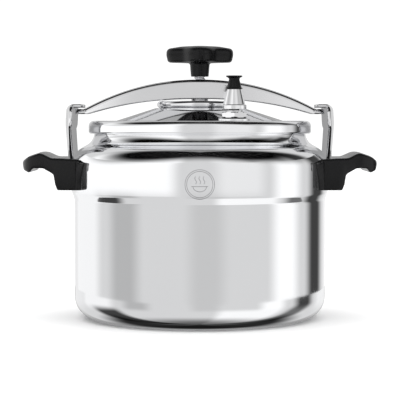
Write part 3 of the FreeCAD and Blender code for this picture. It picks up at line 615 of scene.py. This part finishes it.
# ---- hook brackets ----------------------------------------------------------------------------------------
HOOK_TOP = top_of("hook_bracket_right")
STRAP_FOOT = bottom_of("handle_right")
HANDLE_FOOT = STRAP_FOOT + 2.8
HANDLE_TOP = BELLY_TOP + 7.2
STRAP = 3.6
STRAP_LEAN = 3.0
HOOK_LENGTH = 15.1
HOOK_THICKNESS = 4.6


def strap_half_width(height):
    """The strap's hourglass outline: smooth between its base, waist, top and hook."""
    heights = [STRAP_FOOT, HANDLE_TOP - 16, HANDLE_TOP + 8.8, CROWN - 4, HOOK_TOP - 9, HOOK_TOP - 3, HOOK_TOP]
    halves = [38.0, 38.0, 27.0, 41.0, 42.0, 36.0, 26.0]
    return np.interp(height, heights, halves)


def hook_bracket(side, word):
    """A strap whose middle line climbs the belly, leans out and turns over into the hook.

    Across it, y = share x half-width; up the strap x = sqrt(radius^2 - y^2), and along the hook x runs to a
    straight edge.
    """
    outer = BELLY + STRAP + 0.02
    middle = outer - STRAP / 2
    hook = HOOK_TOP - STRAP / 2
    middle_line = rounded([(middle, HANDLE_FOOT + 1.0, 0), (middle, BELLY_TOP + 4, 60),
                           (middle + STRAP_LEAN, CROWN - 2.6, 60), (middle + STRAP_LEAN * 0.6, hook, 5.5),
                           (outer - HOOK_LENGTH, hook, 0)], 6.0, 1.0)
    heights = middle_line[:, 1]
    half = strap_half_width(heights)
    padded = np.concatenate([half[:1].repeat(2), half, half[-1:].repeat(2)])
    half = np.convolve(padded, np.ones(5) / 5, "valid")
    columns = 33
    share = np.linspace(-1, 1, columns)[None, :]
    y = half[:, None] * share
    round_x = np.sqrt(np.maximum(middle_line[:, :1] ** 2 - y ** 2, 0))
    into_hook = np.clip((outer - 2.0 - middle_line[:, :1]) / 6.0, 0, 1)
    x = round_x * (1 - into_hook) + middle_line[:, :1] * into_hook
    z = np.repeat(heights[:, None], columns, axis=1)
    strap = plate("hook_strap_" + word, np.stack([side * x, y, z], axis=-1), STRAP)
    dress(strap, "pot", "bright_steel", steel_polish, "hook_bracket_" + word)


for side, word in ((1, "right"), (-1, "left")):
    hook_bracket(side, word)


# ---- bow --------------------------------------------------------------------------------------------------
BOW_CROWN = top_of("bow_channel")
BOW_END = half_width_of("bow_channel")
BOW_HALF = 16.0
BOW_WALL = 3.0
BOW_DEPTH = 19.8
RESTING_GAP = 0.25
TONGUE = 5.2
TONGUE_TOP = HOOK_TOP - HOOK_THICKNESS - RESTING_GAP
TONGUE_FOOT = TONGUE_TOP - TONGUE
FLANGE_FOOT = BOW_CROWN - BOW_DEPTH


def bow():
    """The arched channel: at each x, a closed loop round an inverted U whose height follows two power curves.

    Top height = crown - rise x (|x| / reach)^2.14 and flange height = foot - rise x (|x| / reach)^2.3; the
    hollow's ceiling drops to the flange's foot before the tongue, and the tongue's plan is rounded off.
    """
    count = 181
    share = np.linspace(-1, 1, count)
    x = BOW_END * np.sin(share * math.pi / 2 * 0.98) / math.sin(math.pi / 2 * 0.98)
    away = np.abs(x)
    top_rise = BOW_CROWN - TONGUE_TOP
    top = np.maximum(BOW_CROWN - top_rise * (away / (BOW_END - 9.3)) ** 2.14, TONGUE_TOP)
    foot_rise = FLANGE_FOOT - TONGUE_FOOT
    foot = np.maximum(FLANGE_FOOT - foot_rise * (away / (BOW_END - 13.1)) ** 2.3, TONGUE_FOOT)
    hollow = np.clip((BOW_END - 17.8 - away) / 4.0, 0, 1)
    ceiling = foot + 0.02 + (top - BOW_WALL - foot) * hollow
    tip = np.clip((away - (BOW_END - 7.0)) / 7.0, 0, 0.999)
    half = BOW_HALF - 7.0 * (1 - np.sqrt(1 - tip ** 2))
    outer_round = 4.6
    inner_round = 1.0
    lip = 0.6
    quarter = np.linspace(0, math.pi / 2, 7)
    loop_y = []
    loop_z = []

    def add(y, z):
        loop_y.append(y)
        loop_z.append(z)

    add(-half + lip, foot)
    add(-half, foot + lip)
    add(-half, foot + lip + 0.5)
    add(-half, top - outer_round - 0.6)
    for angle in quarter:
        add(-half + outer_round * (1 - math.cos(angle)), top - outer_round * (1 - math.sin(angle)))
    add(-half * 0.5, top)
    add(half * 0.5, top)
    for angle in quarter[::-1]:
        add(half - outer_round * (1 - math.cos(angle)), top - outer_round * (1 - math.sin(angle)))
    add(half, top - outer_round - 0.6)
    add(half, foot + lip + 0.5)
    add(half, foot + lip)
    add(half - lip, foot)
    add(half - BOW_WALL + lip, foot)
    add(half - BOW_WALL, np.minimum(foot + lip, ceiling))
    add(half - BOW_WALL, np.maximum(ceiling - inner_round, np.minimum(foot + lip, ceiling)))
    add(half - BOW_WALL - inner_round, ceiling)
    add(-half + BOW_WALL + inner_round, ceiling)
    add(-half + BOW_WALL, np.maximum(ceiling - inner_round, np.minimum(foot + lip, ceiling)))
    add(-half + BOW_WALL, np.minimum(foot + lip, ceiling))
    add(-half + BOW_WALL - lip, foot)
    y = np.stack(loop_y, axis=1)
    z = np.stack(loop_z, axis=1)
    grid = np.stack([np.repeat(x[:, None], y.shape[1], axis=1), y, z], axis=-1)
    dress(surface("clamp_bow", grid), "bow", "bright_steel", steel_polish, "bow_channel")


bow()


# ---- clamp screw and knob ---------------------------------------------------------------------------------
SCREW_PITCH = 3.0
SCREW_RADIUS = 5.8
THREAD_DEPTH = 1.25


def threaded_screw():
    """The screw's helical thread: radius = major - depth x a flattened triangle of height / pitch - turn."""
    low = bottom_of("clamp_screw")
    shoulder = top_of("pressure_foot") + RESTING_GAP
    high = top_of("clamp_screw")
    around = 48
    angle = np.linspace(0, 2 * math.pi, around, endpoint=False)
    height = np.linspace(shoulder + 0.6, high, 330)
    phase = height[:, None] / SCREW_PITCH - angle[None, :] / (2 * math.pi)
    wave = np.abs((phase % 1.0) * 2 - 1)
    depth = np.clip((wave - 0.28) / 0.44, 0, 1) * THREAD_DEPTH
    fade = np.clip((height - shoulder - 0.6) / 2.0, 0, 1)[:, None]
    radius = SCREW_RADIUS - THREAD_DEPTH * (1 - fade) - depth * fade
    tip_height = np.array([low, low + 0.02, low + 0.5, shoulder - 2.2, shoulder - 0.05, shoulder,
                           shoulder + 0.3])
    tip_radius = np.array([0.0, 3.9, 4.45, 4.45, 4.45, 4.5, 4.5])
    heights = np.concatenate([tip_height, height, [high]])
    radii = np.concatenate([np.repeat(tip_radius[:, None], around, axis=1), radius, np.zeros((1, around))])
    grid = np.stack([radii * np.cos(angle), radii * np.sin(angle),
                     np.repeat(heights[:, None], around, axis=1)], axis=-1)
    dress(surface("clamp_screw_threaded", grid, capped=False), "screw", "plated_steel", zinc_plate,
          "clamp_screw")


threaded_screw()

KNOB_TOP = top_of("knob")
KNOB_HEIGHT = 17.1
KNOB_FOOT = KNOB_TOP - KNOB_HEIGHT
KNOB_NOTCH = 9.6
STEM_FOOT = bottom_of("knob")


def hand_knob():
    """A four-lobed hand knob on a tapered stem.

    Its outline is turned like a lathe piece, and each point's radius is drawn in between the lobes:
    radius = outline - depth x (1 - cos 4a) / 2, with a depth that fades towards the middle and down the stem.
    """
    outline = rounded([(0, STEM_FOOT, 0), (9.2, STEM_FOOT, 0.6), (10.3, KNOB_FOOT - 0.8, 2.2),
                       (20.0, KNOB_FOOT + 0.2, 6), (33.0, KNOB_FOOT, 3.4), (34.7, KNOB_FOOT + 7.5, 12),
                       (34.4, KNOB_TOP - 2.9, 4.6), (20.0, KNOB_TOP - 0.5, 26), (0, KNOB_TOP, 0)], 6.0, 0.4)
    lengths = np.concatenate([[0], np.cumsum(np.linalg.norm(np.diff(outline, axis=0), axis=1))])
    even = np.linspace(0, lengths[-1], 170)
    radius = np.interp(even, lengths, outline[:, 0])[:, None]
    height = np.interp(even, lengths, outline[:, 1])[:, None]
    around = 144
    angle = np.linspace(0, 2 * math.pi, around, endpoint=False)[None, :]
    between = ((1 - np.cos(4 * angle)) / 2) ** 0.85
    out = np.clip((radius - 9.0) / 25.7, 0, 1)
    drawn = radius - KNOB_NOTCH * between * out ** 1.1
    sag = 0.7 * between * np.clip((radius - 14) / 20, 0, 1) ** 2
    upper = np.clip((height - KNOB_FOOT - 8.0) / 8.0, 0, 1)
    grid = np.stack([drawn * np.cos(angle), drawn * np.sin(angle), height - sag * upper], axis=-1)
    dress(surface("hand_knob", grid, capped=False), "screw", "black_bakelite", black_moulding, "knob")


hand_knob()


# ---- handles ----------------------------------------------------------------------------------------------
HANDLE_TIP = half_width_of("handle_right") - 1.2
HANDLE_FACE = BELLY + 15.4
HANDLE_ROOT = BELLY - 14.0
BLOCK_HALF = 54.0
WING_FOOT = 46.0


def handle_grip(side, name):
    """The grip: rounded oblong sections at stations from the pot's wall out to the tip.

    The stations follow the underside's outline (block, hollow for the fingers, hooked tip). At each, the top
    is the upper outline's height there, the half-width narrows in plan to a rounded tip, and the corners are
    quarter circles. Next to the pot x is kept outside sqrt(belly^2 - y^2).
    """
    tip = HANDLE_TIP
    face = HANDLE_FACE
    low = HANDLE_FOOT
    high = HANDLE_TOP
    under = rounded([(HANDLE_ROOT, low, 0), (face - 4.0, low, 1.5), (face - 1.7, low + 5.6, 4),
                     (face, low + 16.0, 5), (tip - 22.7, high - 9.0, 6), (tip - 12.2, high - 9.0, 4),
                     (tip - 8.4, high - 13.9, 2.4), (tip - 1.5, high - 11.0, 3.0), (tip, high - 5.2, 0)],
                    8.0, 0.4)
    over = rounded([(HANDLE_ROOT, high, 0), (BELLY + 6.5, high + 1.3, 10), (tip - 31.2, high + 1.5, 12),
                    (tip - 20.0, high + 6.8, 8), (tip - 6.7, high + 2.4, 12), (tip - 0.8, high - 1.8, 3),
                    (tip, high - 5.0, 0)], 8.0, 0.4)
    lengths = np.concatenate([[0], np.cumsum(np.linalg.norm(np.diff(under, axis=0), axis=1))])
    even = np.linspace(0, lengths[-1], 140)
    across = np.interp(even, lengths, under[:, 0])
    bottom = np.interp(even, lengths, under[:, 1])
    top = np.interp(across, over[:, 0], over[:, 1])
    beyond = np.clip((across - (tip - 24.0)) / 24.0, 0, 1)
    half = np.interp(across, [HANDLE_ROOT, BELLY + 8, tip - 24], [BLOCK_HALF, 53.4, 46.5])
    half = half - 26.0 * (1 - np.sqrt(1 - beyond ** 2))
    corner = np.minimum(3.0, (top - bottom) * 0.42)
    quarter = np.linspace(0, math.pi / 2, 7)
    rise = np.clip((across - BELLY - 4) / 18, 0, 1)
    loop_y = []
    loop_z = []
    for wide, tall, start in ((1, 1, 0), (-1, 1, 1), (-1, -1, 2), (1, -1, 3)):
        centre_z = top - corner if tall > 0 else bottom + corner
        for angle in quarter + start * math.pi / 2:
            loop_y.append(wide * (half - corner) + corner * math.cos(angle))
            loop_z.append(centre_z + corner * math.sin(angle))
        if start in (0, 2):
            for share in (0.96, 0.6, 0.2, -0.2, -0.6, -0.96):
                loop_y.append(wide * share * (half - corner))
                loop_z.append(top + rise * (1 - share ** 2) if tall > 0 else bottom)
    y = np.stack(loop_y, axis=1)
    z = np.stack(loop_z, axis=1)
    wall = np.sqrt((BELLY + 0.05) ** 2 - y ** 2)
    x = np.maximum(across[:, None], wall)
    return surface(name, np.stack([side * x, y, z], axis=-1))


def handle_wing(side, end, name):
    """A thin wing round the belly: from the block's corner its thickness tapers to nothing at its end.

    At each height, outer points run straight from the block's corner to the belly at the wing's end, and
    inner points follow the belly.
    """
    heights = np.linspace(0, 1, 30)
    low = HANDLE_FOOT
    reach = np.interp(heights, [0, 0.25, 0.55, 0.9, 1], [57.0, 57.2, 59.0, 63.0, 64.5])
    share = np.linspace(0, 1, 16)
    y = WING_FOOT + (reach[:, None] - WING_FOOT) * share[None, :]
    belly_x = np.sqrt(BELLY ** 2 - y ** 2) + 0.05
    end_x = np.sqrt(BELLY ** 2 - reach ** 2)[:, None] + 0.5
    corner_x = math.sqrt((BELLY + 4.2) ** 2 - BLOCK_HALF ** 2)
    slope_share = np.clip((y - BLOCK_HALF) / np.maximum(reach[:, None] - BLOCK_HALF, 0.1), 0, 1)
    outer_x = corner_x + (end_x - corner_x) * slope_share
    outer_x = np.where(y < BLOCK_HALF, corner_x - (BLOCK_HALF - y) * 0.05, outer_x)
    rise = HANDLE_TOP - np.interp(y, [WING_FOOT, BLOCK_HALF, 60, 68], [0.8, 1.6, 4.6, 4.0])
    z = low + 0.3 + (rise - low - 0.3) * heights[:, None]
    bevel = np.clip(np.minimum(heights, 1 - heights)[:, None] * 33.8 / 0.8, 0, 1)
    outer_x = belly_x + (outer_x - belly_x) * (0.55 + 0.45 * np.sqrt(bevel))
    outer = np.stack([side * outer_x, end * y, z], axis=-1)
    inner = np.stack([side * belly_x, end * y, z], axis=-1)
    return surface(name, np.concatenate([outer, inner[:, ::-1]], axis=1))


for side, word in ((1, "right"), (-1, "left")):
    grip = handle_grip(side, "handle_grip_" + word)
    dress(grip, "pot", "black_bakelite", black_moulding, "handle_" + word)
    for end, place in ((1, "back"), (-1, "front")):
        wing = handle_wing(side, end, "handle_wing_" + word + "_" + place)
        dress(wing, "pot", "black_bakelite", black_moulding)


# ---- stamped mark -----------------------------------------------------------------------------------------
def on_belly(across, up):
    """Points (across, up) of the mark wrapped on the front of the belly, barely proud of it."""
    angle = across / BELLY
    radius = BELLY + 0.06
    return np.stack([radius * np.sin(angle), -radius * np.cos(angle), up], axis=-1)


def stamped_mark():
    """A plain round mark: a ring, a bowl and three wisps of steam, in thin stamped lines."""
    centre = (BELLY_TOP + STEP) / 2 + 1.0
    turn = np.linspace(0, 2 * math.pi, 97)[:-1]
    lines = []
    for radius in (14.2, 12.6):
        lines.append((radius * np.cos(turn), centre + radius * np.sin(turn), True))
    bowl = np.linspace(math.pi, 2 * math.pi, 33)
    lines.append((6.5 * np.cos(bowl), centre - 2.0 + 5.0 * np.sin(bowl), False))
    lines.append((np.linspace(-8, 8, 17), np.full(17, centre - 2.0), False))
    sway = np.linspace(0, 2 * math.pi, 25)
    for start in (-4.0, 0.0, 4.0):
        lines.append((start + 0.8 * np.sin(sway), centre + 0.5 + sway * 1.15, False))
    for number, (across, up, closed) in enumerate(lines):
        path = on_belly(across, up)
        if closed:
            path = np.concatenate([path, path[:2]])
        wire = tube("mark_line_%d" % number, path, 0.22, 8)
        # the mark's lines wear the darkened metal: painted shade standing in for the shade in stamped grooves
        dress(wire, "pot", "polished_aluminium", mark_metal_painted_shade)


stamped_mark()

# ---- finishes of the pieces that keep their first shape ---------------------------------------------------
for node in ("dish_rivets", "bracket_rivets"):
    finish_node(node, lid_polish)
for node in ("pressure_foot", "foot_clip", "handle_screws", "vent_nut", "safety_nut", "safety_spring",
             "safety_pin"):
    finish_node(node, zinc_plate)
for node in ("safety_valve_body", "safety_cap", "valve_needle"):
    finish_node(node, chrome_plate)
finish_node("bow_nut", steel_polish)
finish_node("canning_rack", satin_sheet)
finish_node("knob_insert", turned_brass)
finish_node("gasket", grey_rubber)
for node in ("vent_washer", "safety_washer"):
    finish_node(node, grey_fibre)


# ---- studio -----------------------------------------------------------------------------------------------
def floor_finish():
    """Plain pale paper sweep."""
    finish = Finish("pale_floor")
    grain = finish.noise(30.0, 2.0)
    finish.set("Base Color", finish.blend(grain, (0.93, 0.93, 0.93), (0.95, 0.95, 0.95)))
    finish.set("Roughness", 0.5)
    finish.set("Specular IOR Level", 0.3)
    return finish.material


def studio_floor():
    corners = [(x * FLOOR_REACH, y * FLOOR_REACH, 0) for x, y in ((-1, -1), (1, -1), (1, 1), (-1, 1))]
    floor = finish_mesh("floor", corners, [[0, 1, 2, 3]], smooth=False)
    floor.data.materials.append(floor_finish())
    floor.visible_glossy = False


# Soft panels round the studio: middle and half width in degrees (0 is the front, + is right), then glow.
WALL_GLOW = 0.65
PANEL_EDGE = 14.0
LOW_PANELS = ((180, 15, 0.30), (-150, 10, 0.80), (-110, 15, 0.90), (-60, 5, 0.45), (5, 5, 0.55),
              (70, 5, 1.00), (110, 5, 0.05), (150, 10, 0.85))
HIGH_PANELS = ((180, 15, 0.35), (-70, 45, 1.00), (0, 5, 0.65), (30, 10, 0.80), (70, 5, 1.00), (110, 5, 0.05))
FLOOR_PANELS = ((180, 15, 0.30), (-100, 10, 0.05), (50, 25, 0.95), (105, 5, 0.15))
PANEL_GLOW = 1.1
TENT_RADIUS = 360.0
TENT_HEIGHT = 290.0
FLOOR_REACH = 6000.0


def panelled(nodes, compass, panels):
    """A pale wall with soft-edged panels; each takes over near its middle, the later ones in front."""
    glow = (WALL_GLOW, WALL_GLOW, WALL_GLOW, 1)
    for middle, half_width, level in panels:
        offset = nodes.add("ShaderNodeMath", {"operation": "WRAP"},
                           {0: compass - (0.5 + middle / 360), 1: 0.5, 2: -0.5})
        away = nodes.add("ShaderNodeMath", {"operation": "ABSOLUTE"}, {0: offset}) * 360.0
        cover = 1 - nodes.smooth(away, half_width, half_width + PANEL_EDGE)
        glow = nodes.mix(cover, glow, (level, level, level, 1))
    return glow


def light_left(nodes, elevation, compass):
    """The share of light left at an elevation: it fades over 40 degrees about the top of the panels.

    Their top stands at 68 - 17 cos a - 42 sin^2 a degrees: lowest at the sides and highest behind.
    """
    turn = (compass - 0.5) * (2 * math.pi)
    ahead = nodes.add("ShaderNodeMath", {"operation": "COSINE"}, {0: turn})
    aside = nodes.add("ShaderNodeMath", {"operation": "SINE"}, {0: turn})
    panel_top = 68.0 - ahead * 17.0 - aside * aside * 42.0
    return 1 - nodes.smooth(elevation - panel_top, -20.0, 20.0)


def tent_finish():
    """The tent's glow: low panels beside the body, and high panels beside the belly and the lid."""
    finish = Finish("tent_panels")
    east, north, up = finish.axes(finish.place())
    compass = finish.compass(east, north)
    low = panelled(finish, compass, LOW_PANELS)
    high = panelled(finish, compass, HIGH_PANELS)
    glow = finish.mix(finish.smooth(up, 0.112, 0.130), low, high)
    slope = finish.add("ShaderNodeMath", {"operation": "ARCTAN2"}, {0: up - 0.165, 1: 0.25}) * (180 / math.pi)
    finish.set("Base Color", (0, 0, 0, 1))
    finish.set("Specular IOR Level", 0.0)
    finish.set("Emission Color", finish.times(glow, light_left(finish, slope, compass)))
    finish.set("Emission Strength", PANEL_GLOW)
    return finish.material


def reflection_tent():
    """A round glowing wall that only reflections see, open at the top."""
    count = 128
    angle = np.linspace(0, 2 * math.pi, count, endpoint=False)
    wall = np.stack([np.cos(angle), np.sin(angle)], axis=-1) * TENT_RADIUS
    grid = np.stack([np.concatenate([wall, np.full((count, 1), height)], axis=1)
                     for height in (0.5, TENT_HEIGHT)])
    tent = surface("reflection_tent", grid, capped=False)
    tent.data.materials.append(tent_finish())
    tent.visible_camera = False
    tent.visible_diffuse = False
    tent.visible_shadow = False
    tent.visible_transmission = False


def studio_world():
    """A white dome, brightest overhead.

    Reflections see the panels fade out above, and a floor that darkens below.
    """
    world = bpy.data.worlds.new("studio")
    bpy.context.scene.world = world
    world.use_nodes = True
    nodes = Nodes(world.node_tree)
    world.node_tree.nodes.clear()
    east, north, up = nodes.axes(nodes.add("ShaderNodeTexCoord", output="Generated"))
    compass = nodes.compass(east, north)
    elevation = nodes.add("ShaderNodeMath", {"operation": "ARCSINE"}, {0: up}) * (180 / math.pi)
    sky = nodes.times(panelled(nodes, compass, HIGH_PANELS), light_left(nodes, elevation, compass))
    low = nodes.mix(nodes.smooth(0 - up, 0.12, 0.46), panelled(nodes, compass, LOW_PANELS),
                    panelled(nodes, compass, FLOOR_PANELS))
    fading = 1 - nodes.smooth(0 - up, 0.7, 1.1)
    behind = nodes.smooth(north, 0.0, 0.25) * nodes.smooth(0 - up, 0.5, 0.8)
    fading = nodes.mix(behind, fading, (0.03, 0.03, 0.03, 1))
    ground = nodes.times(low, fading)
    all_round = nodes.mix(nodes.smooth(up, -0.02, 0.02), ground, sky)
    mirrored = nodes.add("ShaderNodeBackground", {}, {0: all_round, 1: PANEL_GLOW})
    overhead = nodes.add("ShaderNodeMath", {"operation": "POWER"}, {0: nodes.smooth(up, 0.0, 1.2), 1: 2.5})
    lit = nodes.add("ShaderNodeBackground", {}, {0: (1, 1, 1, 1), 1: 0.12 + overhead * 4.2})
    seen = nodes.add("ShaderNodeBackground", {}, {0: (1, 1, 1, 1), 1: PANEL_GLOW})
    ray = nodes.add("ShaderNodeLightPath", output="Is Glossy Ray")
    camera_ray = Value(nodes, ray.socket.node.outputs["Is Camera Ray"])
    chosen = nodes.add("ShaderNodeMixShader", {}, {0: ray, 1: lit, 2: mirrored})
    shown = nodes.add("ShaderNodeMixShader", {}, {0: camera_ray, 1: chosen, 2: seen})
    out = world.node_tree.nodes.new("ShaderNodeOutputWorld")
    world.node_tree.links.new(shown.socket, out.inputs[0])


def studio_camera():
    """A long lens level with the pot's rim, looking slightly down."""
    camera = bpy.data.cameras.new("camera")
    camera.sensor_width = 36.0
    camera.lens = 144.0
    holder = bpy.data.objects.new("camera", camera)
    bpy.context.scene.collection.objects.link(holder)
    eye_height = (RIM + 5.6) * MM
    back = 1.664
    aim_drop = 0.0811
    holder.location = (0.0002, -back, eye_height)
    holder.rotation_euler = (math.pi / 2 - math.atan2(aim_drop, back), 0, 0)
    bpy.context.scene.camera = holder


studio_floor()
reflection_tent()
studio_world()
studio_camera()
bpy.context.scene.view_settings.view_transform = "Standard"
